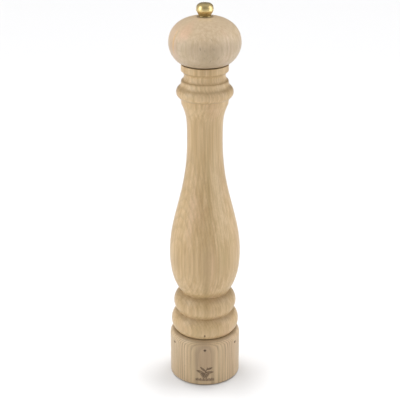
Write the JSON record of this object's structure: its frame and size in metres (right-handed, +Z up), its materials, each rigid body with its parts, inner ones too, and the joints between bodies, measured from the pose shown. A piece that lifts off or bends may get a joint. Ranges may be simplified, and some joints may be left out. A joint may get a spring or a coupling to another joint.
{
  "type": "pepper mill",
  "caption": "Tall turned wooden pepper mill with a domed turning head, a brass knob and a base ring that sets the grind of a steel burr.",
  "frame": {"origin": "middle of the bottom of the base ring, on the surface it stands on", "axes": "+Z up along the turning axis, -Y towards the side with the burnt mark and the middle setting dot"},
  "size_m": [0.074, 0.074, 0.4007],
  "materials": {
    "head_wood": "pale pinkish beech with fine flecks, satin",
    "body_wood": "yellow-brown beech, long straight grain, satin",
    "ring_wood": "pinker, darker beech with an arched grain figure, satin",
    "knob_brass": "polished, slightly satin",
    "bush_brass": "plain turned",
    "plated_steel": "zinc plated, satin",
    "shaft_steel": "drawn bar, satin",
    "spring_steel": "dark spring steel",
    "burr_steel": "hardened, dark satin",
    "black_plastic": "moulded, fine matte",
    "pale_plastic": "moulded, satin"
  },
  "bodies": {
    "body": {"turned_body": "body_wood", "mechanism_housing": "black_plastic", "housing_screw_1": "plated_steel", "housing_screw_2": "plated_steel", "housing_screw_3": "plated_steel", "bearing_spider": "plated_steel", "shaft_bush": "bush_brass", "detent_ball": "spring_steel", "detent_leaf": "spring_steel", "carrier_spring": "spring_steel"},
    "base_ring": {"base_ring": "ring_wood", "adjuster_core": "black_plastic", "core_screw_1": "plated_steel", "core_screw_2": "plated_steel", "core_screw_3": "plated_steel", "retaining_ring": "spring_steel"},
    "stator": {"stator_carrier": "pale_plastic", "outer_burr": "burr_steel"},
    "shaft": {"drive_shaft": "shaft_steel", "inner_burr": "burr_steel", "burr_screw": "plated_steel", "thrust_washer": "spring_steel", "retaining_clip": "spring_steel"},
    "head": {"head": "head_wood", "drive_plate": "plated_steel", "drive_plate_screw_1": "plated_steel", "drive_plate_screw_2": "plated_steel"},
    "knob_washer": {"knob_washer": "knob_brass"},
    "knob": {"knob": "knob_brass"}
  },
  "joints": [
    {"name": "ring_turn", "type": "hinge", "parent": "body", "child": "base_ring", "pos_m": [0, 0, 0.0528], "axis": [0, 0, 1], "range_deg": [-180, 120]},
    {"name": "burr_gap", "type": "slide", "parent": "body", "child": "stator", "axis": [0, 0, 1], "range_m": [-0.0006, 0.0009], "deforming": ["carrier_spring"]},
    {"name": "head_spin", "type": "hinge", "parent": "body", "child": "shaft", "pos_m": [0, 0, 0.0856], "axis": [0, 0, 1], "continuous": true},
    {"name": "head_lift", "type": "slide", "parent": "shaft", "child": "head", "axis": [0, 0, 1], "range_m": [0, 0.075]},
    {"name": "knob_turn", "type": "hinge", "parent": "head", "child": "knob_washer", "pos_m": [0, 0, 0.388], "axis": [0, 0, 1], "range_deg": [0, 1800]},
    {"name": "knob_rise", "type": "slide", "parent": "knob_washer", "child": "knob", "axis": [0, 0, 1], "range_m": [0, 0.005]}
  ],
  "couplings": [
    {"joint": "burr_gap", "follows": "ring_turn", "m_per_rad": -0.00028648},
    {"joint": "knob_turn", "follows": "knob_rise", "rad_per_m": 6283}
  ]
}
